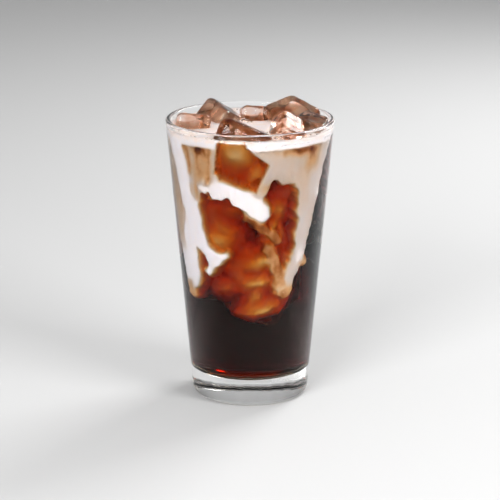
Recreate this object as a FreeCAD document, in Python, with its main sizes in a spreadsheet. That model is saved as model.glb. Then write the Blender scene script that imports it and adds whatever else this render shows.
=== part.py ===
import FreeCAD, Part
import math
import os
from typing import NamedTuple

import Sketcher
from FreeCAD import Placement, Rotation, Vector

# Iced coffee under sweet cream in a heavy-footed pint glass, in millimetres.
# The glass stands on z = 0 with its axis on Z. The side drawn in most detail faces -Y, and
# azimuths are counted in degrees from -Y towards +X.

doc = FreeCAD.newDocument("IcedCoffee")

# ---------------------------------------------------------------- driving sizes

SIZES = (
    ("glassHeight", 149),
    ("rimDiameter", 88),
    ("footDiameter", 61),  # of the wall's line carried down to the table
    ("rimWall", 2.6),
    ("lipRounding", 1.25),  # each edge of the lip
    ("footWall", 3.4),  # wall at the height of the inside floor
    ("floorThickness", 14),
    ("floorCorner", 7),  # radius between floor and wall, inside
    ("heelRadius", 3.5),
    ("puntDiameter", 44),  # shallow hollow under the foot
    ("puntDepth", 1.8),
    ("drinkBelowRim", 4.5),
    ("creamLayer", 5),  # cream that floats right across the drink
    ("creamSkin", 3),  # how far the ribbons of cream stand in from the wall
    ("creamReach", 85),  # lowest cream below the drink's level
    ("cubeEdge", 27),
    ("cubeTaper", 2.5),  # a cube's small end is narrower by this at each side
    ("cubeRounding", 4),
    ("iceGap", 0.4),  # film of drink between cubes, and between a cube and the glass
    ("iceHeadroom", 30),  # room above the rim in which cubes may stand
)

sheet = doc.addObject("Spreadsheet::Sheet", "Sizes")
for row, (alias, value) in enumerate(SIZES, start=1):
    sheet.set(f"A{row}", alias)
    sheet.set(f"B{row}", str(value))
    sheet.setAlias(f"B{row}", alias)
doc.recompute()


def size(text):
    """The value in millimetres of an expression on the sheet."""
    value = sheet.evalExpression(text)
    return float(getattr(value, "Value", value))


TOLERANCE = 0.01  # within which an edge is taken for the one looked for

# Radii and heights that several pieces share, as expressions on the sheet.
HEIGHT = "Sizes.glassHeight"
RIM = "Sizes.rimDiameter / 2"
FOOT = "Sizes.footDiameter / 2"
FLOOR = "Sizes.floorThickness"
LEVEL = "(Sizes.glassHeight - Sizes.drinkBelowRim)"
LAYER_BOTTOM = f"({LEVEL} - Sizes.creamLayer)"
INNER_RIM = f"({RIM} - Sizes.rimWall)"
INNER_FOOT = f"({FOOT} + ({RIM} - {FOOT}) * {FLOOR} / {HEIGHT} - Sizes.footWall)"


def inner_radius(height):
    """Radius of the inside wall at a height, as an expression."""
    return f"({INNER_FOOT} + ({INNER_RIM} - {INNER_FOOT}) * ({height} - {FLOOR}) / ({HEIGHT} - {FLOOR}))"


# ---------------------------------------------------------------- turned pieces


def turned_body(name, corners):
    """A body turned about Z from a closed outline of (radius, height) expressions."""
    body = doc.addObject("PartDesign::Body", name)
    sketch = body.newObject("Sketcher::SketchObject", f"{name}_outline")
    upright = next(f for f in body.Origin.OriginFeatures if f.Role == "XZ_Plane")
    sketch.AttachmentSupport = [(upright, "")]
    sketch.MapMode = "FlatFace"
    places = [Vector(size(radius), size(height), 0) for radius, height in corners]
    for start, end in zip(places, places[1:] + places[:1]):
        sketch.addGeometry(Part.LineSegment(start, end))
    for i, (radius, height) in enumerate(corners):
        sketch.addConstraint(Sketcher.Constraint("Coincident", i, 2, (i + 1) % len(corners), 1))
        for axis, kind, text, place in (
            (-2, "DistanceX", radius, places[i].x),
            (-1, "DistanceY", height, places[i].y),
        ):
            if text == "0":
                sketch.addConstraint(Sketcher.Constraint("PointOnObject", i, 1, axis))
            else:
                index = sketch.addConstraint(Sketcher.Constraint(kind, -1, 1, i, 1, place))
                sketch.setExpression(f"Constraints[{index}]", text)
    turn = body.newObject("PartDesign::Revolution", f"{name}_turn")
    turn.Profile = sketch
    turn.ReferenceAxis = (sketch, ["V_Axis"])
    turn.Angle = 360
    doc.recompute()
    return body


def round_ring(body, name, ring, radius):
    """Rounds the circular edge of the given (radius, height) on the body's tip."""
    base = body.Tip
    ring_radius, ring_height = (size(text) for text in ring)
    edges = [
        f"Edge{i}"
        for i, edge in enumerate(base.Shape.Edges, start=1)
        if isinstance(edge.Curve, Part.Circle)
        and abs(edge.Curve.Radius - ring_radius) < TOLERANCE
        and abs(edge.Curve.Center.z - ring_height) < TOLERANCE
    ]
    fillet = body.newObject("PartDesign::Fillet", f"{body.Name}_{name}")
    fillet.Base = (base, edges)
    fillet.setExpression("Radius", radius)
    doc.recompute()


def make_glass():
    """Heavy pint glass: tapered wall, rounded lip, thick floor and a hollow under the foot."""
    glass = turned_body(
        "glass",
        (
            ("0", "Sizes.puntDepth"),
            ("Sizes.puntDiameter / 2", "0"),
            (FOOT, "0"),
            (RIM, HEIGHT),
            (INNER_RIM, HEIGHT),
            (INNER_FOOT, FLOOR),
            ("0", FLOOR),
        ),
    )
    round_ring(glass, "heel", (FOOT, "0"), "Sizes.heelRadius")
    round_ring(glass, "corner", (INNER_FOOT, FLOOR), "Sizes.floorCorner")
    round_ring(glass, "lip_outside", (RIM, HEIGHT), "Sizes.lipRounding")
    round_ring(glass, "lip_inside", (INNER_RIM, HEIGHT), "Sizes.lipRounding")
    return glass


def make_fill():
    """All that is in the glass up to the drink's level."""
    fill = turned_body(
        "fill",
        (("0", FLOOR), (INNER_FOOT, FLOOR), (inner_radius(LEVEL), LEVEL), ("0", LEVEL)),
    )
    round_ring(fill, "corner", (INNER_FOOT, FLOOR), "Sizes.floorCorner")
    return fill


# ---------------------------------------------------------------- sweet cream


class Ribbon(NamedTuple):
    """Cream that ran down the glass. Its route has four poles, as a Bezier curve has, each an
    azimuth and a share of the cream's reach below the drink's level."""

    route: tuple
    start_width: float
    end_width: float


RIBBONS = {
    "left_loop": Ribbon(((-70, 0.0), (-45, 0.29), (-60, 0.62), (-30, 0.74)), 14, 5),
    "left_fork": Ribbon(((-29, 0.72), (-31, 0.76), (-34, 0.8), (-37, 0.84)), 4, 2.6),
    "left_prong": Ribbon(((-33, 0.75), (-29, 0.73), (-25, 0.72), (-19, 0.71)), 4, 2.6),
    "middle_band": Ribbon(((-54, 0.27), (-27, 0.32), (-12, 0.28), (11, 0.45)), 9, 7),
    "left_sheet": Ribbon(((-47, 0.0), (-45, 0.1), (-45, 0.2), (-46, 0.3)), 13, 13),
    "left_drip": Ribbon(((-34, 0.0), (-34, 0.1), (-34, 0.2), (-35, 0.28)), 10, 9),
    "right_drip": Ribbon(((14, 0.0), (15, 0.08), (12, 0.18), (7, 0.32)), 16, 5),
    "right_sheet": Ribbon(((29, 0.0), (28, 0.1), (27, 0.16), (25, 0.22)), 17, 15),
    "right_shoulder": Ribbon(((43, 0.0), (42, 0.1), (42, 0.2), (46, 0.36)), 16, 10),
    "right_band": Ribbon(((64, 0.0), (42, 0.3), (58, 0.66), (29, 0.93)), 15, 4.5),
    "right_twig": Ribbon(((38, 0.8), (43, 0.79), (48, 0.78), (54, 0.79)), 3.4, 2.2),
    "stem": Ribbon(((16, 0.67), (20, 0.76), (27, 0.86), (32, 0.96)), 2.8, 7),
    "side_fall": Ribbon(((-78, 0.0), (-66, 0.4), (-74, 0.5), (-58, 0.88)), 8, 15),
    "side_tail": Ribbon(((-58, 0.84), (-60, 0.9), (-62, 0.96), (-62, 1.0)), 7, 5),
}
BACK_ENDS = (0.42, 0.86, 0.55, 0.74, 0.36, 0.8)  # the back ribbons' shares of the reach, in order
BACK_STEP = 28  # degrees between them
BACK_SWAY = 9  # degrees that they sway to each side
BACK_WIDTHS = (13, 4.5)  # at the top and at the end
WALL_SINK = 0.6  # how far a ribbon's sections run into the wall, to which they are then trimmed
SPAN = 9.5  # a ribbon has a section about this often along its route
FEWEST_SPANS = 3
ROUTE_STEP = 0.01  # each way along a route, to find its direction
TIP_SHARE = 0.4  # a ribbon's tip runs on by this share of its width
TIP_WIDTH = 0.45  # and narrows to this share of it
ROUND_DEPTH = 0.42  # a narrow ribbon stands in from the wall by this share of its width


def bezier(poles, t):
    """A place on a cubic Bezier curve in the plane."""
    weights = ((1 - t) ** 3, 3 * t * (1 - t) ** 2, 3 * t * t * (1 - t), t ** 3)
    return tuple(sum(w * pole[axis] for w, pole in zip(weights, poles)) for axis in (0, 1))


def on_wall(azimuth, share):
    """The point of the inside wall at an azimuth and a share of the cream's reach."""
    height = size(f"{LEVEL} - {share:.6f} * Sizes.creamReach")
    radius = size(inner_radius(f"{height:.6f}"))
    angle = math.radians(azimuth)
    return Vector(radius * math.sin(angle), -radius * math.cos(angle), height)


def make_section(name, route, t, width):
    """A ribbon's section at t along its route: flat in the wall and arched towards the drink."""
    centre = on_wall(*bezier(route, t))
    along = on_wall(*bezier(route, t + ROUTE_STEP)) - on_wall(*bezier(route, t - ROUTE_STEP))
    across = along.cross(Vector(centre.x, centre.y, 0)).normalize()
    outward = across.cross(along).normalize()
    half = width / 2
    depth = min(size("Sizes.creamSkin"), ROUND_DEPTH * width)
    left, right = Vector(-half, 0, 0), Vector(half, 0, 0)
    sink = Vector(0, WALL_SINK, 0)
    section = doc.addObject("Sketcher::SketchObject", name)
    section.addGeometry(Part.LineSegment(right + sink, left + sink))
    section.addGeometry(Part.LineSegment(left + sink, left))
    section.addGeometry(Part.Arc(left, Vector(0, -depth, 0), right))
    section.addGeometry(Part.LineSegment(right, right + sink))
    section.Placement = Placement(centre, Rotation(across, outward, along, "XYZ"))
    return section


def make_ribbon(name, ribbon):
    """A smooth loft through sections along the ribbon's route, with a narrow tip at its end."""
    poles = [on_wall(*pole) for pole in ribbon.route]
    length = sum((b - a).Length for a, b in zip(poles, poles[1:]))
    spans = max(FEWEST_SPANS, math.ceil(length / SPAN))
    sections = []
    for i in range(spans + 1):
        width = ribbon.start_width + (ribbon.end_width - ribbon.start_width) * i / spans
        sections.append(make_section(f"{name}_section_{i}", ribbon.route, i / spans, width))
    tip = 1 + TIP_SHARE * ribbon.end_width / length
    sections.append(make_section(f"{name}_tip", ribbon.route, tip, TIP_WIDTH * ribbon.end_width))
    loft = doc.addObject("Part::Loft", name)
    loft.Sections = sections
    loft.Solid = True
    loft.Ruled = False
    return loft


def make_cream():
    """The floating layer with all its ribbons, which run on into the wall and above the drink."""
    layer = doc.addObject("Part::Cylinder", "layer")
    layer.setExpression("Radius", RIM)
    layer.setExpression("Height", "Sizes.creamLayer * 2")
    layer.setExpression("Placement.Base.z", LAYER_BOTTOM)
    ribbons = [make_ribbon(name, ribbon) for name, ribbon in RIBBONS.items()]
    for i, end in enumerate(BACK_ENDS):
        azimuth = 180 + (i - (len(BACK_ENDS) - 1) / 2) * BACK_STEP
        sway = BACK_SWAY if i % 2 else -BACK_SWAY
        swings = (0, sway, -sway, sway)
        route = tuple((azimuth + swing, end * pole / 3) for pole, swing in enumerate(swings))
        ribbons.append(make_ribbon(f"back_{i + 1}", Ribbon(route, *BACK_WIDTHS)))
    joined = doc.addObject("Part::MultiFuse", "untrimmed_cream")
    joined.Shapes = [layer] + ribbons
    return joined


# ---------------------------------------------------------------- ice


class Cube(NamedTuple):
    """Where a cube floats: x and y as shares of the inside radius, rise of its middle above the
    drink's level, turns about Z, Y and X in degrees, and its size against the largest tray cube."""

    x: float
    y: float
    rise: float
    turns: tuple
    scale: float


# Each cube keeps clear of those before it.
CUBES = {
    "ice_front": Cube(-0.11, -0.52, -8.5, (-12, 21, -10), 1.1),
    "ice_front_right": Cube(0.45, -0.58, 2, (20, 30, 42), 0.66),
    "ice_left": Cube(-0.76, 0.02, -3, (12, 8, -12), 0.72),
    "ice_back_right": Cube(0.53, 0.45, -3.5, (30, -14, 18), 0.95),
    "ice_right": Cube(0.76, -0.12, -3, (-20, 16, 12), 0.78),
    "ice_back_left": Cube(-0.4, 0.54, -5, (40, 30, 22), 0.9),
    "ice_middle": Cube(0.06, 0.5, -2.5, (12, 6, -8), 0.72),
}


def make_cube(name, cube, growth):
    """A tapered tray cube with rounded edges, larger all round by the growth."""
    block = doc.addObject("Part::Wedge", f"{name}_block")
    half = f"(Sizes.cubeEdge * {cube.scale} / 2 + {growth})"
    small = f"(Sizes.cubeEdge * {cube.scale} / 2 - Sizes.cubeTaper + {growth})"
    for axis, reach in (("X", half), ("Y", half), ("Z", half), ("X2", small), ("Z2", small)):
        block.setExpression(f"{axis}min", f"-{reach}")
        block.setExpression(f"{axis}max", reach)
    doc.recompute()
    rounding = size(f"Sizes.cubeRounding * {cube.scale} + {growth}")
    body = doc.addObject("Part::Fillet", name)
    body.Base = block
    body.Edges = [(i, rounding, rounding) for i in range(1, len(block.Shape.Edges) + 1)]
    body.Placement = Placement(Vector(), Rotation(*cube.turns))
    body.setExpression("Placement.Base.x", f"{inner_radius(LEVEL)} * {cube.x}")
    body.setExpression("Placement.Base.y", f"{inner_radius(LEVEL)} * {cube.y}")
    body.setExpression("Placement.Base.z", f"{LEVEL} + {cube.rise}")
    return body


def make_ice():
    """The cubes that break the surface, each trimmed to the glass and to the cubes before it."""
    bottom = f"({FLOOR} + Sizes.iceGap)"
    top = f"({HEIGHT} + Sizes.iceHeadroom)"
    room = turned_body(
        "ice_room",
        (
            ("0", bottom),
            (f"({inner_radius(bottom)} - Sizes.iceGap)", bottom),
            (f"({inner_radius(top)} - Sizes.iceGap)", top),
            ("0", top),
        ),
    )
    cubes = []
    films = []
    for name, cube in CUBES.items():
        whole = make_cube(f"{name}_cube", cube, "0")
        trimmed = doc.addObject("Part::MultiCommon", f"{name}_in_glass" if films else name)
        trimmed.Shapes = [whole, room]
        if films:
            taken = doc.addObject("Part::Compound", f"{name}_neighbours")
            taken.Links = list(films)
            cut = doc.addObject("Part::Cut", name)
            cut.Base = trimmed
            cut.Tool = taken
            trimmed = cut
        cubes.append(trimmed)
        films.append(make_cube(f"{name}_film", cube, "Sizes.iceGap"))
    return cubes


# ---------------------------------------------------------------- the drink and the whole


def combine(kind, name, base, tool):
    """A boolean of two pieces: Part::Cut or Part::Common."""
    result = doc.addObject(kind, name)
    result.Base = base
    result.Tool = tool
    return result


fill = make_fill()
ice = make_ice()
ice_together = doc.addObject("Part::Compound", "ice_together")
ice_together.Links = ice
untrimmed_cream = make_cream()
cream_in_glass = combine("Part::Common", "cream_in_glass", fill, untrimmed_cream)
drink_under_cream = combine("Part::Cut", "drink_under_cream", fill, untrimmed_cream)
cream = combine("Part::Cut", "sweet_cream", cream_in_glass, ice_together)
coffee = combine("Part::Cut", "cold_brew", drink_under_cream, ice_together)
parts = [make_glass(), coffee, cream] + ice
doc.recompute()

for item in doc.Objects:
    if "Invalid" in item.State or "Error" in item.State:
        raise RuntimeError(f"{item.Label} did not build")
os.makedirs("parts", exist_ok=True)
for piece in parts:
    if piece.Shape.isNull() or not piece.Shape.isValid():
        raise RuntimeError(f"{piece.Label} has no sound shape")
    piece.Shape.exportStep(f"parts/{piece.Label}.step")
    box = piece.Shape.BoundBox
    measures = f"{piece.Shape.Volume:.0f} mm3, {box.ZMin:.1f} to {box.ZMax:.1f} mm up"
    print(piece.Label, len(piece.Shape.Solids), measures)
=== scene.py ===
import itertools
import math

import bpy
import numpy as np
from mathutils import Euler, Matrix, Vector, kdtree, noise


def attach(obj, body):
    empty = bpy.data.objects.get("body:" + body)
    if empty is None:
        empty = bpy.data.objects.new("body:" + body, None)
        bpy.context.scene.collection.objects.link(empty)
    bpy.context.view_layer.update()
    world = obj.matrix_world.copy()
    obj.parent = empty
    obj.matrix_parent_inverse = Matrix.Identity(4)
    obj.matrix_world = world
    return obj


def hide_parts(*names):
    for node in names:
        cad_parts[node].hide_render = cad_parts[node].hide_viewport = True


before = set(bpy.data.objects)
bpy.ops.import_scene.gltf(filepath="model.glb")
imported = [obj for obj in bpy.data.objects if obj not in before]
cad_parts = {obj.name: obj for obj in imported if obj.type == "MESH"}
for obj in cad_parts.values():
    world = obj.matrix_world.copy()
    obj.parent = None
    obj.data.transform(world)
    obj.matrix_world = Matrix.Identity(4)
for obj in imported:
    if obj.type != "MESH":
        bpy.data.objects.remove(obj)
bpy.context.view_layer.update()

mm = 0.001
scene = bpy.context.scene

# The pint glass, in mm, and how far what fills it runs into its wall.
glassSizes = {
    "height": 149,
    "rimRadius": 44,
    "footRadius": 30.5,
    "rimWall": 2.6,
    "footWall": 3.4,
    "floor": 14,
    "cornerRadius": 7,
    "heelRadius": 3.5,
    "puntRadius": 22,
    "puntDepth": 1.8,
    "puntRounding": 6,
    "lipRadius": 1.25,
    "waveTop": 9,  # the base is uneven below this
    "waveRadius": 24,
    "waveDepth": 0.008,  # share of the radius
    "turns": 256,
}
drinkLevel = 144.5
wallReach = 0.15


def innerRadius(height):
    g = glassSizes
    slope = (g["rimRadius"] - g["footRadius"]) / g["height"]
    foot = g["footRadius"] + slope * g["floor"] - g["footWall"]
    rim = g["rimRadius"] - g["rimWall"]
    return foot + (rim - foot) * (height - g["floor"]) / (g["height"] - g["floor"])


class Socket:
    # an output socket that can be used in sums
    def __init__(self, maker, socket):
        self.maker = maker
        self.socket = socket

    def maths(self, operation, *values):
        return self.maker.add("ShaderNodeMath", {"operation": operation}, values)

    def __add__(self, other):
        return self.maths("ADD", self, other)

    def __radd__(self, other):
        return self.maths("ADD", other, self)

    def __sub__(self, other):
        return self.maths("SUBTRACT", self, other)

    def __rsub__(self, other):
        return self.maths("SUBTRACT", other, self)

    def __mul__(self, other):
        return self.maths("MULTIPLY", self, other)

    def __rmul__(self, other):
        return self.maths("MULTIPLY", other, self)


class NodeMaker:
    # adds nodes to a material, a world or a node group
    def __init__(self, owner):
        self.owner = owner
        if isinstance(owner, bpy.types.NodeTree):
            self.tree = owner
        else:
            owner.use_nodes = True
            self.tree = owner.node_tree
        self.tree.nodes.clear()

    def add(self, kind, settings=None, values=(), output=0):
        node = self.tree.nodes.new(kind)
        for key, value in (settings or {}).items():
            if key == "stops":
                ramp = node.color_ramp
                while len(ramp.elements) < len(value):
                    ramp.elements.new(0.5)
                for element, (place, colour) in zip(ramp.elements, value):
                    element.position = place
                    element.color = (*colour, 1)
            else:
                setattr(node, key, value)
        pairs = values.items() if isinstance(values, dict) else enumerate(values)
        for key, value in pairs:
            if isinstance(value, Socket):
                self.tree.links.new(value.socket, node.inputs[key])
            else:
                node.inputs[key].default_value = value
        return Socket(self, node.outputs[output])

    def finish(self, kind, **ends):
        # links what is given to the output node's sockets of the same names
        out = self.tree.nodes.new(kind)
        for name, end in ends.items():
            self.tree.links.new(end.socket, out.inputs[name])
        return self.owner


materialOutput = "ShaderNodeOutputMaterial"


def newMaterial(name):
    return NodeMaker(bpy.data.materials.new(name))


def objectPlace(s):
    return s.add("ShaderNodeTexCoord", output="Object")


def clearGlass():
    s = newMaterial("pint glass")
    body = s.add(
        "ShaderNodeBsdfPrincipled",
        values={
            "Base Color": (1, 1, 1, 1),
            "Roughness": 0.0,
            "IOR": 1.5,
            "Transmission Weight": 1.0,
            "Specular Tint": (0.2, 0.2, 0.2, 1),  # less glare over the dark drink
        },
    )
    return s.finish(materialOutput, Surface=body)


def coffeeLiquid():
    # amber where it is a film, red-brown at a few mm and nearly black where it is deep
    s = newMaterial("cold brew")
    body = s.add(
        "ShaderNodeBsdfPrincipled",
        values={
            "Base Color": (1, 1, 1, 1),
            "Roughness": 0.0,
            "IOR": 1.33,
            "Transmission Weight": 1.0,
            "Specular Tint": (0, 0, 0, 1),  # it wets the glass, so nothing glints between them
        },
    )
    depth = s.add("ShaderNodeVolumeAbsorption", values={"Color": (0.914, 0.69, 0.22, 1), "Density": 1000.0})
    return s.finish(materialOutput, Surface=body, Volume=depth)


def clearIce(name, roughness, stain):
    # wet ice, stained by the drink in patches as far as the stain, from 0 to 1, says
    s = newMaterial(name)
    place = objectPlace(s)
    ripple = s.add("ShaderNodeTexNoise", values={"Vector": place, "Scale": 160.0, "Detail": 3.0})
    patches = s.add(
        "ShaderNodeTexNoise",
        values={"Vector": place, "Scale": 95.0, "Detail": 2.0, "Distortion": 0.6},
    )
    bump = s.add("ShaderNodeBump", values={"Strength": 0.35, "Distance": 0.0007, "Height": ripple})
    clear = (1, 0.95, 0.92)
    warm, dark = (
        tuple(1 + stain * (part - 1) for part in colour) for colour in ((0.92, 0.6, 0.44), (0.58, 0.22, 0.12))
    )
    tint = s.add(
        "ShaderNodeValToRGB",
        {"stops": ((0.38, clear), (0.56, warm), (0.72, dark))},
        {"Fac": patches},
    )
    body = s.add(
        "ShaderNodeBsdfPrincipled",
        values={
            "Base Color": tint,
            "Roughness": roughness,
            "IOR": 1.31,
            "Transmission Weight": 1.0,
            "Normal": bump,
        },
    )
    return s.finish(materialOutput, Surface=body)


def sweetCream():
    # from clean cream to dark with coffee, as the point attribute says; the same ramp also carries painted
    # shade and painted amber light
    s = newMaterial("sweet cream")
    blush = s.add("ShaderNodeAttribute", {"attribute_name": "blush"}, output="Fac")
    grain = s.add("ShaderNodeTexNoise", values={"Vector": objectPlace(s), "Scale": 420.0, "Detail": 3.0})
    tint = s.add(
        "ShaderNodeValToRGB",
        {
            "stops": (
                (0.0, (0.87, 0.83, 0.87)),
                (0.2, (0.91, 0.81, 0.77)),
                (0.42, (0.92, 0.75, 0.66)),
                (0.62, (0.89, 0.61, 0.42)),
                (0.82, (0.5, 0.2, 0.08)),
                (1.0, (0.13, 0.03, 0.015)),
            )
        },
        {"Fac": blush + (grain - 0.5) * 0.2},
    )
    bump = s.add("ShaderNodeBump", values={"Strength": 0.15, "Distance": 0.0004, "Height": grain})
    body = s.add(
        "ShaderNodeBsdfPrincipled",
        values={"Base Color": tint, "Roughness": 0.35, "IOR": 1.4, "Normal": bump},
    )
    return s.finish(materialOutput, Surface=body)


def foamBubble():
    s = newMaterial("foam bubble")
    patches = s.add("ShaderNodeTexNoise", values={"Vector": objectPlace(s), "Scale": 300.0, "Detail": 2.0})
    tint = s.add(
        "ShaderNodeValToRGB",
        {"stops": ((0.35, (0.95, 0.9, 0.86)), (0.65, (0.86, 0.66, 0.5)))},
        {"Fac": patches},
    )
    body = s.add(
        "ShaderNodeBsdfPrincipled",
        values={"Base Color": tint, "Roughness": 0.06, "IOR": 1.33, "Transmission Weight": 0.6},
    )
    return s.finish(materialOutput, Surface=body)


def plainColour(name, colour, roughness):
    s = newMaterial(name)
    body = s.add("ShaderNodeBsdfPrincipled", values={"Base Color": (*colour, 1), "Roughness": roughness})
    return s.finish(materialOutput, Surface=body)


def newPiece(name, vertices, faces, material):
    mesh = bpy.data.meshes.new(name)
    mesh.from_pydata(vertices, [], faces)
    mesh.validate()
    piece = bpy.data.objects.new(name, mesh)
    scene.collection.objects.link(piece)
    dress(piece, material)
    return piece


def dress(piece, material):
    # one material all over, smoothly shaded
    mesh = piece.data
    mesh.materials.clear()
    mesh.materials.append(material)
    mesh.polygons.foreach_set("use_smooth", [True] * len(mesh.polygons))


def settle(piece, *modifiers):
    # adds modifiers given as (kind, settings), applies them and takes them off again
    for kind, settings in modifiers:
        modifier = piece.modifiers.new(kind.lower(), kind)
        for key, value in settings.items():
            setattr(modifier, key, value)
    mesh = bpy.data.meshes.new_from_object(piece.evaluated_get(bpy.context.evaluated_depsgraph_get()))
    piece.modifiers.clear()
    piece.data = mesh


def combined(piece, operation, other):
    # adds the other piece to the first, or cuts it away, and removes it
    settle(piece, ("BOOLEAN", {"operation": operation, "object": other, "solver": "MANIFOLD"}))
    bpy.data.objects.remove(other)


def perPoint(mesh, name):
    flat = np.empty(len(mesh.vertices) * 3)
    mesh.vertices.foreach_get(name, flat)
    return flat.reshape(-1, 3)


def places(mesh):
    return perPoint(mesh, "co")


def setPlaces(mesh, points):
    mesh.vertices.foreach_set("co", np.asarray(points, dtype=float).ravel())
    mesh.update()


def setField(mesh, name, values):
    # a value from 0 to 1 at each point
    field = mesh.attributes.new(name, "FLOAT", "POINT")
    field.data.foreach_set("value", np.clip(values, 0, 1))


def grown(piece, amount):
    # a copy of a piece, larger all round by the amount in mm
    copy = bpy.data.objects.new("grown", piece.data.copy())
    scene.collection.objects.link(copy)
    setPlaces(copy.data, places(copy.data) + perPoint(copy.data, "normal") * amount * mm)
    return copy


def join(piece, other):
    # adds the other piece's mesh to the first and removes it
    a, b = piece.data, other.data
    count = len(a.vertices)
    vertices = [tuple(v.co) for v in a.vertices] + [tuple(v.co) for v in b.vertices]
    faces = [tuple(p.vertices) for p in a.polygons]
    faces += [tuple(v + count for v in p.vertices) for p in b.polygons]
    mesh = bpy.data.meshes.new(a.name)
    mesh.from_pydata(vertices, [], faces)
    material = a.materials[0]
    piece.data = mesh
    dress(piece, material)
    bpy.data.objects.remove(other)


def roughNoise(points, scale, seed):
    # soft noise between about -1 and 1 at each point, with features of the given size in metres
    shift = Vector((seed * 7.1, seed * 3.7, seed * 5.3))
    return np.array([noise.noise(Vector(p) / scale + shift) for p in points])


def roundedOutline(corners):
    # turns (radius, height, rounding) corners in mm into a smooth outline
    outline = []
    for i, (r, z, rounding) in enumerate(corners):
        here = Vector((r, z))
        if rounding <= 0:
            outline.append(here)
            continue
        before = (Vector(corners[i - 1][:2]) - here).normalized()
        after = (Vector(corners[(i + 1) % len(corners)][:2]) - here).normalized()
        half = before.angle(after) / 2
        centre = here + (before + after).normalized() * (rounding / math.sin(half))
        start = here + before * (rounding / math.tan(half)) - centre
        sweep = start.angle_signed(here + after * (rounding / math.tan(half)) - centre)
        steps = max(4, math.ceil(abs(sweep) / 0.14))
        for k in range(steps + 1):
            outline.append(centre + Matrix.Rotation(-sweep * k / steps, 2) @ start)
    return outline


def turned(name, outline, material, turns):
    # a solid of revolution about Z; the outline runs from the axis below to the axis above
    ring = [(p.x * mm, p.y * mm) for p in outline]
    vertices = [(0, 0, ring[0][1])]
    for r, z in ring[1:-1]:
        for k in range(turns):
            a = 2 * math.pi * k / turns
            vertices.append((r * math.cos(a), r * math.sin(a), z))
    vertices.append((0, 0, ring[-1][1]))
    rows = len(ring) - 2
    last = len(vertices) - 1
    faces = []
    for k in range(turns):
        nextK = (k + 1) % turns
        faces.append((0, 1 + nextK, 1 + k))
        for row in range(rows - 1):
            a, b = 1 + row * turns, 1 + (row + 1) * turns
            faces.append((a + k, a + nextK, b + nextK, b + k))
        faces.append((last, 1 + (rows - 1) * turns + k, 1 + (rows - 1) * turns + nextK))
    return newPiece(name, vertices, faces, material)


def makeGlass():
    g = glassSizes
    outline = roundedOutline(
        [
            (0, g["puntDepth"], 0),
            (g["puntRadius"], 0, g["puntRounding"]),
            (g["footRadius"], 0, g["heelRadius"]),
            (g["rimRadius"], g["height"], g["lipRadius"]),
            (g["rimRadius"] - g["rimWall"], g["height"], g["lipRadius"]),
            (innerRadius(g["floor"]), g["floor"], g["cornerRadius"]),
            (0, g["floor"], 0),
        ]
    )
    glass = turned("pintGlass", outline, clearGlass(), g["turns"])
    points = places(glass.data)
    low = np.clip(1 - points[:, 2] / (g["waveTop"] * mm), 0, 1) ** 1.5
    heel = low * np.clip(np.hypot(points[:, 0], points[:, 1]) / (g["waveRadius"] * mm) - 0.6, 0, 1)
    waves = roughNoise(points, 6 * mm, 1) + 0.5 * roughNoise(points, 2.5 * mm, 2)
    points[:, :2] *= (1 - g["waveDepth"] * np.abs(waves) * heel)[:, None]
    setPlaces(glass.data, points)
    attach(glass, "root")
    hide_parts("glass")
    print("glass made", flush=True)


def wallHeight(points):
    # how far each point lies outside the inner wall, in mm
    return np.hypot(points[:, 0], points[:, 1]) / mm - innerRadius(points[:, 2] / mm)


def setWallHeight(points, height):
    radius = np.hypot(points[:, 0], points[:, 1])
    wanted = (innerRadius(points[:, 2] / mm) + height) * mm
    points[:, :2] *= (wanted / np.maximum(radius, 1e-6))[:, None]


creamSizes = {
    "reach": 85,  # lowest cream below the drink's level
    "layer": 4.6,  # floating right across the drink
    "thickness": 3.0,
    "columns": 480,  # of the map round the wall
    "rowStep": 0.62,
    "lowest": 50,
    "coarse": 7.0,  # sizes of the noise in its edges, depth and streaks
    "fine": 2.6,
    "streaks": 2.8,
    "sway": 5.0,
    "bite": 4.5,
    "windowDepth": 3.2,
    "cloudBlend": 1.6,
    "cloudFall": 4.6,  # how much deeper a cloud's skirt lies than its middle
    "coffeeOver": 0.7,  # film of coffee over the most mixed cream
    "deepest": 11.0,  # cream further than this behind the wall is left out
    "press": 0.2,  # how far clean cream is pressed into the wall
    "softness": 1.15,  # how slowly an edge falls back into the coffee
    "blend": 1.1,  # how readily neighbouring ribbons join
    "ragged": 1.3,
    "coat": 2.4,  # cream round the backs of the cubes
    "coatBehind": 0.4,
    "iceClearance": 0.1,
    "climb": 1.1,  # up the wall
    "swell": 0.45,
    "triangles": 185000,  # at most
}
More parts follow.
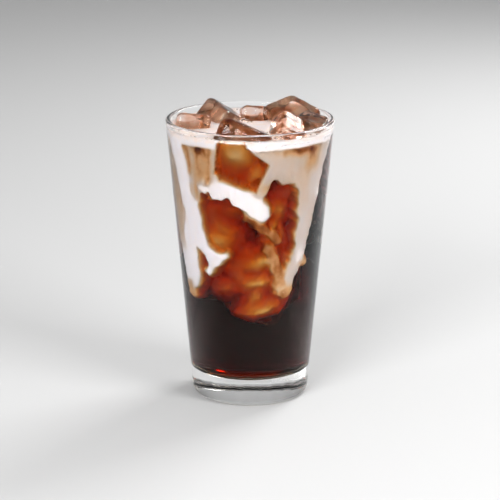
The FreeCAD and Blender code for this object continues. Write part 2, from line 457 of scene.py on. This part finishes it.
# routes as (azimuth, share of the reach) poles, the widths at both ends, and how mixed with coffee
creamRibbons = {
    "left loop": (((-72, -0.02), (-45, 0.29), (-60, 0.62), (-29, 0.745)), 17, 4.6, 0.0),
    "left fork": (((-30, 0.74), (-31, 0.77), (-33, 0.8), (-37, 0.84)), 3.2, 2.4, 0.1),
    "left prong": (((-31, 0.75), (-28, 0.735), (-25, 0.725), (-20, 0.71)), 3.2, 2.0, 0.1),
    "middle band": (((-56, 0.26), (-30, 0.33), (-14, 0.26), (9, 0.435)), 10, 8.4, 0.08),
    "left sheet": (((-48, 0.0), (-46, 0.1), (-45, 0.2), (-46, 0.3)), 12, 14, 0.5),
    "left drip": (((-33, 0.0), (-34, 0.1), (-34, 0.2), (-36, 0.28)), 9, 9, 0.6),
    "left seam": (((-25, 0.0), (-27, 0.08), (-29, 0.16), (-29, 0.25)), 2.6, 4.0, 0.3),
    "right drip": (((12, 0.0), (15, 0.08), (12, 0.2), (4, 0.33)), 15, 6, 0.28),
    "right sheet": (((28, 0.0), (28, 0.05), (28, 0.1), (29, 0.155)), 20, 18, 0.3),
    "right shoulder": (((43, 0.0), (42, 0.12), (43, 0.22), (49, 0.4)), 16, 10, 0.36),
    "right band": (((66, -0.02), (42, 0.3), (58, 0.66), (29, 0.93)), 17, 4.2, 0.22),
    "right twig": (((40, 0.79), (44, 0.785), (48, 0.78), (53, 0.79)), 3.0, 1.8, 0.6),
    "stem": (((16, 0.67), (20, 0.76), (27, 0.86), (32, 0.95)), 2.6, 6.6, 0.72),
    "tail streak": (((-2, 0.475), (6, 0.52), (14, 0.555), (23, 0.62)), 2.6, 2.6, 0.8),
    "side fall": (((-80, 0.0), (-66, 0.4), (-74, 0.5), (-62, 0.7)), 9, 12, 0.45),
    "side patch": (((-60, 0.62), (-61, 0.7), (-61, 0.78), (-57, 0.88)), 15, 11, 0.0),
    "side tail": (((-57, 0.88), (-62, 0.92), (-64, 0.97), (-60, 1.0)), 4, 4.5, 0.6),
}
backEnds = (0.42, 0.86, 0.55, 0.74, 0.36, 0.8)
# the window that the front cube makes in the cream, as (azimuth, height) corners
frontWindow = ((-23, 150), (-28.5, 127), (5, 117.5), (15, 133), (-2, 142), (-3, 150))
# tinted patches: azimuth, height, half sizes in degrees and mm, how mixed
creamBlushes = (
    ((38, 138.6), (20, 2.2), 0.5),
    ((53, 134), (6, 7), 0.45),
    ((-39, 139.3), (6, 2.6), 0.45),
    ((-44, 131), (4, 7), 0.2),
    ((10, 120), (8, 3), 0.25),
)
# dark notches along the middle band: azimuth, height, half sizes in mm
creamBites = (
    ((-38.5, 114.5), (1.6, 2.4)),
    ((-33, 116), (1.4, 2.2)),
    ((-17.5, 113), (1.8, 2.6)),
    ((-25, 111.5), (1.2, 1.6)),
)
# thin clouds and glints: azimuth, height, half sizes in mm, turn in degrees, depth behind the wall
creamClouds = (
    ((-10, 138), (8.6, 7.2), -10, 0.7),
    ((4, 127), (2.6, 5.6), -35, 1.7),
    ((-27, 91), (6.4, 4.2), -18, 1.2),
    ((-37, 106), (6, 6), 0, 4.4),
    ((-16, 106), (8, 5), 0, 3.8),
    ((-24, 97), (8, 4), -30, 2.6),
    ((12, 80), (7.0, 3.4), 12, 1.0),
    ((3, 78), (8, 3), 10, 2.8),
    ((-12, 78), (7, 4), 20, 4.2),
    ((7, 68.5), (6.6, 2.8), 6, 1.0),
    ((-9, 71), (7, 4), -30, 3.6),
    ((-26, 65), (7, 3.6), 8, 3.6),
    ((13, 53.5), (7.4, 3.2), 18, 1.0),
    ((2, 54), (6, 4), 20, 2.8),
    ((5, 61), (3, 5), -35, 2.0),
    ((24, 107), (4.6, 3.6), -30, 1.9),
    ((31, 115), (6, 4), 0, 4.0),
    ((27, 95), (2.4, 6), 24, 3.0),
    ((18, 97), (1.8, 6), -30, 1.6),
    ((-2, 85), (5, 4), 0, 4.6),
    ((-34, 101), (5, 7), 0, 4.6),
)


def bezier(poles, t):
    weights = ((1 - t) ** 3, 3 * t * (1 - t) ** 2, 3 * t * t * (1 - t), t**3)
    return [sum(w * pole[axis] for w, pole in zip(weights, poles)) for axis in (0, 1)]


def onWall(azimuth, height):
    # points of the inner wall, in mm
    angle = np.radians(azimuth)
    radius = innerRadius(height)
    return np.stack([radius * np.sin(angle), -radius * np.cos(angle), height + 0 * angle], axis=-1)


def allRibbons():
    ribbons = list(creamRibbons.values())
    for i, end in enumerate(backEnds):
        azimuth = 180 + (i - (len(backEnds) - 1) / 2) * 28
        sway = 9 if i % 2 else -9
        route = (
            (azimuth, 0.0),
            (azimuth + sway, end / 3),
            (azimuth - sway, end * 2 / 3),
            (azimuth + sway, end),
        )
        ribbons.append((route, 18, 5, 0.05 + 0.25 * (i % 3)))
    return ribbons


def outsidePolygon(corners, x, y):
    # signed distance to a polygon, negative inside
    distance = np.full(x.shape, 1e9)
    inside = np.zeros(x.shape, dtype=bool)
    for (ax, ay), (bx, by) in zip(corners, corners[1:] + corners[:1]):
        dx, dy = bx - ax, by - ay
        along = np.clip(((x - ax) * dx + (y - ay) * dy) / (dx * dx + dy * dy), 0, 1)
        distance = np.minimum(distance, np.hypot(x - ax - along * dx, y - ay - along * dy))
        crosses = (ay > y) != (by > y)
        inside ^= crosses & (x < ax + (y - ay) * dx / (dy if dy else 1e-9))
    return np.where(inside, -distance, distance)


def hump(x, y, wide, high):
    return np.exp(-((x / wide) ** 2) - (y / high) ** 2)


def nearRibbons(points):
    # how far outside the ribbons each point of the wall lies, in mm, and how mixed they are there
    c = creamSizes
    total = np.full(len(points), 1e-12)
    mixAndShade = np.zeros(len(points))
    steps = np.linspace(0, 1, 36)
    for route, startWidth, endWidth, tone in allRibbons():
        line = np.array([bezier(route, t) for t in steps])
        centres = onWall(line[:, 0], drinkLevel - line[:, 1] * c["reach"])
        halves = (startWidth + (endWidth - startWidth) * steps) / 2
        outside = np.min(np.linalg.norm(points[:, None, :] - centres[None], axis=2) - halves[None], axis=1)
        weight = np.exp(-c["blend"] * np.clip(outside, -12, 30))
        total += weight
        mixAndShade += tone * weight
    return -np.log(total) / c["blend"], mixAndShade / total


def openWindow(depth, mixAndShade, azimuth, height, coarse, fine):
    # the front cube keeps the cream away
    c = creamSizes
    polygon = [(a * math.radians(1) * innerRadius(z), z) for a, z in frontWindow]
    window = outsidePolygon(polygon, np.radians(azimuth) * innerRadius(height), height) + 0.5 * coarse
    window = np.where(np.abs(azimuth) < 60, window, 9)  # none round the back
    opened = c["windowDepth"] * (1 + 0.3 * fine) * np.clip(-window / 1.6, 0, 1) ** 1.5 - c["press"]
    depth = np.maximum(depth, np.where(window < 0, opened, -1))
    # inside the window the cream is painted orange-brown: painted amber light standing in for the light that
    # shows through the front cube
    return depth, np.where(window < -0.8, 0.72 + 0.2 * coarse, mixAndShade)


def addClouds(depth, mixAndShade, azimuth, height, arc, coarse):
    # clouds join each other and the ribbons smoothly; their colour is darkened towards their edges, a painted
    # shade for the deeper coffee there
    c = creamSizes
    k = c["cloudBlend"]
    total = np.exp(-k * depth)
    tones = mixAndShade * total
    for (a, z), (wide, high), turn, nearest in creamClouds:
        x = (azimuth - a) * arc
        y = height - z
        cos, sin = math.cos(math.radians(turn)), math.sin(math.radians(turn))
        reach = ((x * cos + y * sin) / wide) ** 2 + ((y * cos - x * sin) / high) ** 2
        cloud = nearest * (1 + 0.2 * coarse) + c["cloudFall"] * (1 - np.exp(-0.5 * reach))
        cloud += 2 * np.maximum(reach - 6, 0)
        weight = np.exp(-k * np.minimum(cloud, 60))
        total += weight
        # painted shade: darker towards the cloud's edge
        tones += weight * 0.7 * (1 - np.exp(-0.35 * reach))
    total = np.maximum(total, 1e-30)
    return -np.log(total) / k, tones / total


def creamMap(azimuth, height):
    # how far behind the wall the cream lies, in mm, and how dark its colour is, from 0 to 1: mixed with
    # coffee, with painted shade and painted amber light added
    c = creamSizes
    place = onWall(azimuth, height)
    arc = np.radians(1) * innerRadius(height)  # mm for each degree
    coarse = roughNoise(place, c["coarse"], 3)
    fine = roughNoise(place, c["fine"], 5)
    streak = roughNoise(place * (1, 1, 0.2), c["streaks"], 8)
    streak *= np.where(np.abs(azimuth + 40) < 16, 0.7, 0.2)  # strongest in the left sheet
    movedAzimuth = azimuth + c["ragged"] * (coarse + 0.8 * fine) / arc
    movedHeight = height + 0.8 * c["ragged"] * roughNoise(place, c["sway"], 11)
    movedHeight = np.minimum(movedHeight, drinkLevel + 3)
    edge, mixAndShade = nearRibbons(onWall(movedAzimuth, movedHeight))
    for (a, z), (wide, high) in creamBites:
        edge += c["bite"] * hump((azimuth - a) * arc, height - z, wide, high)
    for (a, z), (wide, high), tone in creamBlushes:
        mixAndShade += tone * hump(movedAzimuth - a, movedHeight - z, wide, high)
    # the floating layer's edge is a clean band all round
    band = np.clip((height - (drinkLevel - c["layer"]) + 0.7 * coarse) / 1.6, 0, 1)
    mixAndShade = np.clip(mixAndShade * (1 + 0.8 * streak + 0.25 * coarse) + 0.1 * streak, 0, 1.2)
    mixAndShade = mixAndShade * (1 - band) + 0.06 * band
    soft = c["softness"] * (1 + 0.5 * fine)
    depth = c["coffeeOver"] * mixAndShade**2 + (np.maximum(edge, 0) / soft) ** 2
    clean = 1 - np.clip(depth * 4, 0, 1) * (1 - band)
    depth = depth * (1 - band) - c["press"] * clean
    depth, mixAndShade = openWindow(depth, mixAndShade, azimuth, height, coarse, fine)
    depth, mixAndShade = addClouds(depth, mixAndShade, movedAzimuth, movedHeight, arc, coarse)
    mixAndShade += (1 - mixAndShade) * np.clip((depth - 4) / 5, 0, 1)  # painted shade: darker where it lies deep in the coffee
    return np.minimum(depth, c["deepest"] + 1), mixAndShade


def gridLines(top):
    # azimuths and heights of the map's columns and rows
    c = creamSizes
    rows = int((top - c["lowest"]) / c["rowStep"])
    heights = c["lowest"] + np.arange(rows + 1) * c["rowStep"]
    azimuths = -180 + np.arange(c["columns"]) * 360 / c["columns"]
    return np.meshgrid(azimuths, heights)


def layMap():
    # the map worked out once on a grid round the wall
    azimuths, heights = gridLines(drinkLevel + 3)
    depth, mixAndShade = creamMap(azimuths.ravel(), heights.ravel())
    print("cream mapped on the wall", flush=True)
    return {"depth": depth.reshape(heights.shape), "mixAndShade": mixAndShade.reshape(heights.shape)}


def readMap(name, points):
    # the map's value at the azimuth and height of each point, between the grid's corners
    c = creamSizes
    values = creamField[name]
    rows, columns = values.shape
    azimuth = np.degrees(np.arctan2(points[:, 0], -points[:, 1]))
    row = np.clip((points[:, 2] / mm - c["lowest"]) / c["rowStep"], 0, rows - 1.001)
    column = ((azimuth + 180) % 360) * columns / 360
    r, k = row.astype(int), column.astype(int) % columns
    up, along = row - r, column - np.floor(column)
    k1 = (k + 1) % columns
    low = values[r, k] * (1 - along) + values[r, k1] * along
    high = values[r + 1, k] * (1 - along) + values[r + 1, k1] * along
    return low * (1 - up) + high * up


def holdBehind(points, gap=0.0):
    # keeps points at least as far behind the wall as the cream lies there, and a gap more
    below = np.maximum(creamSizes["lowest"] - points[:, 2] / mm, 0)
    allowed = -readMap("depth", points) - gap - 1.2 * below
    setWallHeight(points, np.minimum(wallHeight(points), allowed))


def withoutCorners(present):
    # fills in a cell wherever two cells touch only at a corner
    while True:
        right = np.roll(present, -1, axis=1)
        a, b, d, e = present[:-1], right[:-1], present[1:], right[1:]
        rising, falling = a & e & ~b & ~d, b & d & ~a & ~e
        if not (rising.any() or falling.any()):
            return present
        filled = np.zeros_like(present)
        filled[:-1] = falling | np.roll(rising, 1, axis=1)
        present = present | filled


def closedShell(name, present, front, back, material):
    # a closed sheet over the cells of a grid that wraps round its columns
    rows, columns = present.shape
    present = withoutCorners(present)
    number = np.arange((rows + 1) * columns).reshape(rows + 1, columns)
    offset = number.size
    r, k = np.nonzero(present)
    k1 = (k + 1) % columns
    outer = np.stack([number[r, k], number[r, k1], number[r + 1, k1], number[r + 1, k]], axis=1)
    faces = outer.tolist() + (outer[:, ::-1] + offset).tolist()
    empty = np.zeros_like(present[:1])
    # a wall along each open side: the neighbour there, and the side's first and last corners
    for neighbour, first, last in (
        (np.concatenate([empty, present[:-1]]), (0, 0), (0, 1)),
        (np.concatenate([present[1:], empty]), (1, 1), (1, 0)),
        (np.roll(present, 1, axis=1), (1, 0), (0, 0)),
        (np.roll(present, -1, axis=1), (0, 1), (1, 1)),
    ):
        r, k = np.nonzero(present & ~neighbour)
        start = number[r + first[0], (k + first[1]) % columns]
        end = number[r + last[0], (k + last[1]) % columns]
        faces += np.stack([end, start, start + offset, end + offset], axis=1).tolist()
    vertices = np.concatenate([front.reshape(-1, 3), back.reshape(-1, 3)]) * mm
    used = np.unique(faces)
    renumber = np.full(len(vertices), -1)
    renumber[used] = np.arange(len(used))
    return newPiece(name, vertices[used].tolist(), renumber[np.array(faces)].tolist(), material)


def makeCurtain(material):
    # the cream along the wall, at the depth that the map gives for each place
    c = creamSizes
    azimuths, heights = gridLines(drinkLevel - 1)
    depth = creamField["depth"][: len(heights)]
    nextDepth = np.roll(depth, -1, axis=1)
    corners = np.stack([depth[:-1], depth[1:], nextDepth[:-1], nextDepth[1:]])
    present = corners.max(axis=0) < c["deepest"]
    present[0] = False
    fade = np.clip((c["deepest"] - depth) / 3, 0.06, 1)  # thin towards its edges
    wall = onWall(azimuths.ravel(), heights.ravel()).reshape(*heights.shape, 3)
    outward = wall * (1, 1, 0) / np.linalg.norm(wall[..., :2], axis=-1, keepdims=True)
    front = wall - outward * depth[..., None]
    back = wall - outward * (np.maximum(depth, 0.3) + c["thickness"] * fade)[..., None]
    return closedShell("creamCurtain", present, front, back, material)


def makeCreamTop(material):
    # the floating layer: a disc drawn with a plain edge, then drawn in to the wall
    c = creamSizes
    bottom, top = drinkLevel - c["layer"], drinkLevel
    edge = 60
    rings = 50
    rim = [(edge, bottom + (top - bottom) * k / 8) for k in range(9)]
    inwards = [(edge - edge / rings * k, top) for k in range(1, rings)]
    outline = [Vector(p) for p in [(0, bottom), *rim, *inwards, (0, top)]]
    piece = turned("creamTop", outline, material, c["columns"])
    points = places(piece.data)
    radius = np.hypot(points[:, 0], points[:, 1])
    wallRadius = (innerRadius(points[:, 2] / mm) + 0.3) * mm  # just into the wall
    points[:, :2] *= np.where(radius > 0, wallRadius / (edge * mm), 1)[:, None]
    holdBehind(points)
    height = wallHeight(points)
    onTop = points[:, 2] > (top - 0.1) * mm
    swell = roughNoise(points, 9 * mm, 3) + 0.5 * roughNoise(points, 3.5 * mm, 4)
    climb = c["climb"] * np.exp(np.minimum(height, 0) / 1.6) + c["swell"] * swell
    points[onTop, 2] += climb[onTop] * mm
    setPlaces(piece.data, points)
    return piece


def makeCream(ice, sunk):
    c = creamSizes
    material = sweetCream()
    cream = makeCurtain(material)
    cream.name = "sweetCream"
    combined(cream, "UNION", makeCreamTop(material))
    for cube in ice + [sunk]:
        coat = grown(cube, c["coat"])
        points = places(coat.data)
        holdBehind(points, c["coatBehind"])
        points[:, 2] = np.minimum(points[:, 2], (drinkLevel - 1.5) * mm)  # under the floating layer
        setPlaces(coat.data, points)
        combined(cream, "UNION", coat)
    for cube in ice + [sunk]:
        combined(cream, "DIFFERENCE", grown(cube, c["iceClearance"]))
    cream.data.calc_loop_triangles()
    settle(cream, ("DECIMATE", {"ratio": min(1, c["triangles"] / len(cream.data.loop_triangles))}))
    dress(cream, material)
    # how dark its colour is: from the map near the wall, which holds the coffee mixed in as well as painted
    # shade and painted amber light, brownish inside and pale on top
    points = places(cream.data)
    blush = readMap("mixAndShade", points)
    inside = wallHeight(points) < -c["deepest"]
    blush[inside] = 0.74 + 0.2 * roughNoise(points[inside], 6 * mm, 21)
    onTop = points[:, 2] > (drinkLevel - 0.8) * mm
    nearWall = np.clip(wallHeight(points[onTop]) / 3 + 2, 0, 1)
    pale = 0.2 + 0.3 * roughNoise(points[onTop], 5 * mm, 14)
    blush[onTop] = np.maximum(blush[onTop] * nearWall, pale)
    setField(cream.data, "blush", blush)
    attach(cream, "root")
    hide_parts("sweet_cream")
    print("cream made, triangles", len(cream.data.polygons), flush=True)
    return cream


iceSizes = {
    "voxel": 0.8,
    "sunkVoxel": 1.0,
    "shrink": 0.15,
    "dent": 0.45,
    "dentWidth": 7,
    "rippleWidth": 3,
    "behindCream": 1.8,  # how far the cubes at the top stay behind the cream
    "sunkBehindCream": 1.4,
    "fromWall": 2.0,  # where there is no cream in front of a sunk cube
    "creamNear": 7,  # cream deeper than this lets a sunk cube come forward
    "comeForward": 2.5,
}
topIce = {
    "iceFront": "ice_front",
    "iceFrontRight": "ice_front_right",
    "iceLeft": "ice_left",
    "iceBackRight": "ice_back_right",
    "iceRight": "ice_right",
    "iceBackLeft": "ice_back_left",
    "iceMiddle": "ice_middle",
}
# sunk cubes: place of the middle and edge in mm, turns in degrees
sunkCubes = (
    ((6, -14, 60), 25, (12, 22, 8)),
    ((8, 13, 56), 24, (-15, 10, 30)),
    ((4, -17, 82), 20, (25, -18, 12)),
    ((10, 6, 80), 24, (8, 32, -14)),
    ((-20, 4, 66), 21, (20, 12, 24)),
    ((-17, -17, 93), 22, (-12, 24, 10)),
    ((-14, 12, 88), 25, (16, -22, 34)),
    ((22, -12, 104), 20, (32, 14, -10)),
    ((20, 14, 98), 25, (-10, 25, 16)),
    ((-2, 2, 108), 22, (20, 30, 5)),
    ((-16, 18, 108), 20, (5, 12, 40)),
)


def melted(piece, voxel, iterations):
    settle(
        piece,
        ("REMESH", {"mode": "VOXEL", "voxel_size": voxel * mm}),
        ("SMOOTH", {"factor": 0.5, "iterations": iterations}),
    )


def smoothIce(piece, seed, voxel):
    # a melted surface with shallow dents
    i = iceSizes
    melted(piece, voxel, 6)
    points = places(piece.data)
    dents = roughNoise(points, i["dentWidth"] * mm, seed) * 0.7
    dents += roughNoise(points, i["rippleWidth"] * mm, seed + 9) * 0.3
    depth = i["shrink"] + i["dent"] * np.abs(dents)
    setPlaces(piece.data, points - perPoint(piece.data, "normal") * depth[:, None] * mm)


def makeTopIce(material):
    # the cubes that break the surface, from copies of their solids
    ice = []
    for seed, (name, node) in enumerate(topIce.items()):
        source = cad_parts[node]
        mesh = bpy.data.meshes.new_from_object(source.evaluated_get(bpy.context.evaluated_depsgraph_get()))
        mesh.transform(source.matrix_world)
        piece = bpy.data.objects.new(name, mesh)
        scene.collection.objects.link(piece)
        settle(piece, ("WELD", {"merge_threshold": 1e-5}))
        smoothIce(piece, seed, iceSizes["voxel"])
        points = places(piece.data)
        low = points[:, 2] < (drinkLevel + 1) * mm
        held = points.copy()
        holdBehind(held, iceSizes["behindCream"])
        points[low] = held[low]
        setPlaces(piece.data, points)
        dress(piece, material)
        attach(piece, "root")
        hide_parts(node)
        ice.append(piece)
    print("top ice made", flush=True)
    return ice


def makeSunkIce(material):
    i = iceSizes
    vertices = []
    faces = []
    for middle, edge, turns in sunkCubes:
        spin = Euler([math.radians(a) for a in turns]).to_matrix()
        start = len(vertices)
        for x, y, z in itertools.product((-1, 1), repeat=3):
            corner = spin @ Vector((x, y, z)) * (edge / 2) + Vector(middle)
            vertices.append(corner * mm)
        for quad in ((0, 1, 3, 2), (4, 6, 7, 5), (0, 4, 5, 1), (2, 3, 7, 6), (0, 2, 6, 4), (1, 5, 7, 3)):
            faces.append([start + v for v in quad])
    piece = newPiece("sunkIce", vertices, faces, material)
    melted(piece, i["voxel"], 12)
    points = places(piece.data)
    depth = readMap("depth", points)
    behind = depth + i["sunkBehindCream"]
    farther = i["creamNear"] + i["sunkBehindCream"] - i["comeForward"] * (depth - i["creamNear"])
    behind = np.maximum(np.where(depth < i["creamNear"], behind, farther), i["fromWall"])
    setWallHeight(points, np.minimum(wallHeight(points), -behind))
    setPlaces(piece.data, points)
    smoothIce(piece, 30, i["sunkVoxel"])
    dress(piece, material)
    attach(piece, "root")
    print("sunk ice made", flush=True)
    return piece


coffeeSizes = {
    "belowCream": 0.9,  # its surface below the cream's
    "iceOverlap": 0.1,  # how far the ice runs into it
}


def makeColdBrew(ice, sunk):
    g = glassSizes
    c = coffeeSizes
    surface = drinkLevel - c["belowCream"]
    outline = roundedOutline(
        [
            (0, g["floor"] - wallReach, 0),
            (innerRadius(g["floor"]) + wallReach, g["floor"] - wallReach, g["cornerRadius"]),
            (innerRadius(surface) + wallReach, surface, 0),
            (0, surface, 0),
        ]
    )
    coffee = turned("coldBrew", outline, coffeeLiquid(), g["turns"])
    for cube in ice:
        combined(coffee, "DIFFERENCE", grown(cube, -c["iceOverlap"]))
    # the sunk cubes leave closed hollows, which need no boolean
    hollow = grown(sunk, -c["iceOverlap"])
    hollow.data.flip_normals()
    join(coffee, hollow)
    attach(coffee, "root")
    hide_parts("cold_brew")
    print("cold brew made", flush=True)


# inputs of the bubbles' node tree: the beads' distance apart and radii, most for each square metre
bubbleSizes = {
    "Apart": 1.25 * mm,
    "Most": 400000.0,
    "Smallest": 0.22 * mm,
    "Largest": 0.62 * mm,
    "Seed": 4,
}


def bubbleTree():
    # scatters bubbles over a surface, thickest where its "crowd" is high
    tree = bpy.data.node_groups.new("foam bubbles", "GeometryNodeTree")
    kinds = {
        "Surface": "NodeSocketGeometry",
        "Apart": "NodeSocketFloat",
        "Most": "NodeSocketFloat",
        "Smallest": "NodeSocketFloat",
        "Largest": "NodeSocketFloat",
        "Seed": "NodeSocketInt",
        "Material": "NodeSocketMaterial",
    }
    for name, kind in kinds.items():
        tree.interface.new_socket(name, in_out="INPUT", socket_type=kind)
    tree.interface.new_socket("Bubbles", in_out="OUTPUT", socket_type="NodeSocketGeometry")
    s = NodeMaker(tree)
    given = {name: s.add("NodeGroupInput", output=name) for name in kinds}
    crowd = s.add("GeometryNodeInputNamedAttribute", {"data_type": "FLOAT"}, {"Name": "crowd"})
    points = s.add(
        "GeometryNodeDistributePointsOnFaces",
        {"distribute_method": "POISSON"},
        {
            "Mesh": given["Surface"],
            "Distance Min": given["Apart"],
            "Density Max": given["Most"],
            "Density Factor": crowd,
            "Seed": given["Seed"],
        },
    )
    bubble = s.add("GeometryNodeMeshIcoSphere", values={"Radius": 1.0, "Subdivisions": 2})
    size = s.add(
        "FunctionNodeRandomValue",
        {"data_type": "FLOAT"},
        {2: given["Smallest"], 3: given["Largest"], 8: given["Seed"]},  # the float sockets, then the seed
        output=1,
    )
    placed = s.add(
        "GeometryNodeInstanceOnPoints",
        values={"Points": points, "Instance": bubble, "Scale": size},
    )
    real = s.add("GeometryNodeRealizeInstances", values=(placed,))
    smooth = s.add("GeometryNodeSetShadeSmooth", values=(real,))
    done = s.add("GeometryNodeSetMaterial", values={"Geometry": smooth, "Material": given["Material"]})
    return s.finish("NodeGroupOutput", Bubbles=done)


def topOfCream(cream):
    # a sheet made of the cream's upward faces
    mesh = cream.data
    middles = np.empty(len(mesh.polygons) * 3)
    normals = np.empty(len(mesh.polygons) * 3)
    mesh.polygons.foreach_get("center", middles)
    mesh.polygons.foreach_get("normal", normals)
    onTop = (middles[2::3] > (drinkLevel - 0.8) * mm) & (normals[2::3] > 0.5)
    faces = [tuple(mesh.polygons[i].vertices) for i in np.nonzero(onTop)[0].tolist()]
    used = sorted({v for face in faces for v in face})
    renumber = {v: i for i, v in enumerate(used)}
    faces = [[renumber[v] for v in face] for face in faces]
    return newPiece("foamBubbles", places(mesh)[used].tolist(), faces, mesh.materials[0])


def makeBubbles(cream, ice):
    # foam where the cream meets the glass and the ice
    bubbles = topOfCream(cream)
    points = places(bubbles.data)
    corners = [vertex.co for cube in ice for vertex in cube.data.vertices]
    near = kdtree.KDTree(len(corners))
    for number, corner in enumerate(corners):
        near.insert(corner, number)
    near.balance()
    fromIce = np.array([near.find(p)[2] for p in points]) / mm
    fromWall = -wallHeight(points)
    crowd = np.exp(-(((fromIce - 1) / 1.1) ** 2)) + np.exp(-(((fromWall - 1.4) / 1.2) ** 2))
    crowd *= np.clip(0.55 + 2.2 * roughNoise(points, 6 * mm, 17), 0, 1)
    crowd *= (fromWall > 0.8) & (fromIce > 0.4)
    setField(bubbles.data, "crowd", crowd)
    tree = bubbleTree()
    given = {**bubbleSizes, "Material": foamBubble()}
    modifier = bubbles.modifiers.new("foam", "NODES")
    modifier.node_group = tree
    for item in tree.interface.items_tree:
        if item.name in given:
            modifier[item.identifier] = given[item.name]
    settle(bubbles)
    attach(bubbles, "root")
    print("bubbles made", flush=True)


# metres and watts; each lamp has its place, its size and its power
studio = {
    "grey": 0.58,
    "halfWidth": 5.0,
    "front": -4.0,
    "back": 2.0,
    "bend": 0.6,
    "top": 4.0,
    "sky": 0.35,
    "aim": (0, 0, 0.08),
    "lamps": {
        "key softbox": ((-0.6, -1.1, 0.5), 0.7, 21),
        "fill softbox": ((0.95, -0.75, 0.4), 0.6, 18),
        "rim softbox": ((0.6, 0.7, 0.8), 0.5, 10),
    },
}
cameraSizes = {
    "place": (0, -1.007, 0.366),
    "down": 16,  # degrees
    "lens": 142.4,
    "sensor": 36,
}


def makeStudio():
    bend = []
    for k in range(13):
        angle = math.pi / 2 * k / 12
        y = studio["back"] - studio["bend"] * (1 - math.sin(angle))
        bend.append((y, studio["bend"] * (1 - math.cos(angle))))
    profile = [(studio["front"], 0.0)] + bend + [(studio["back"], studio["top"])]
    vertices = [(x, y, z) for y, z in profile for x in (-studio["halfWidth"], studio["halfWidth"])]
    faces = [(2 * i, 2 * i + 1, 2 * i + 3, 2 * i + 2) for i in range(len(profile) - 1)]
    floor = newPiece("studioFloor", vertices, faces, plainColour("pale studio", (studio["grey"],) * 3, 0.8))
    sky = NodeMaker(bpy.data.worlds.new("studio"))
    light = sky.add("ShaderNodeBackground", values={"Color": (1, 1, 1, 1), "Strength": studio["sky"]})
    scene.world = sky.finish("ShaderNodeOutputWorld", Surface=light)
    for name, (place, size, power) in studio["lamps"].items():
        lamp = bpy.data.lights.new(name, "AREA")
        lamp.shape = "SQUARE"
        lamp.size = size
        lamp.energy = power
        holder = bpy.data.objects.new(name, lamp)
        holder.location = place
        holder.rotation_euler = (Vector(studio["aim"]) - Vector(place)).to_track_quat("-Z", "Y").to_euler()
        scene.collection.objects.link(holder)
    print("studio made", flush=True)


def makeCamera():
    data = bpy.data.cameras.new("camera")
    data.lens = cameraSizes["lens"]
    data.sensor_width = cameraSizes["sensor"]
    camera = bpy.data.objects.new("camera", data)
    camera.location = cameraSizes["place"]
    camera.rotation_euler = (math.radians(90 - cameraSizes["down"]), 0, 0)
    scene.collection.objects.link(camera)
    scene.camera = camera
    print("camera placed", flush=True)


creamField = layMap()
makeGlass()
ice = makeTopIce(clearIce("clear ice", 0.03, 1.0))
sunk = makeSunkIce(clearIce("sunk ice", 0.05, 0.0))
cream = makeCream(ice, sunk)
makeBubbles(cream, ice)
makeColdBrew(ice, sunk)
makeStudio()
makeCamera()
scene.view_settings.view_transform = "Standard"
# light passes through many walls of glass, coffee and ice
scene.cycles.max_bounces = 40
scene.cycles.transmission_bounces = 40
scene.cycles.transparent_max_bounces = 32
scene.cycles.glossy_bounces = 12
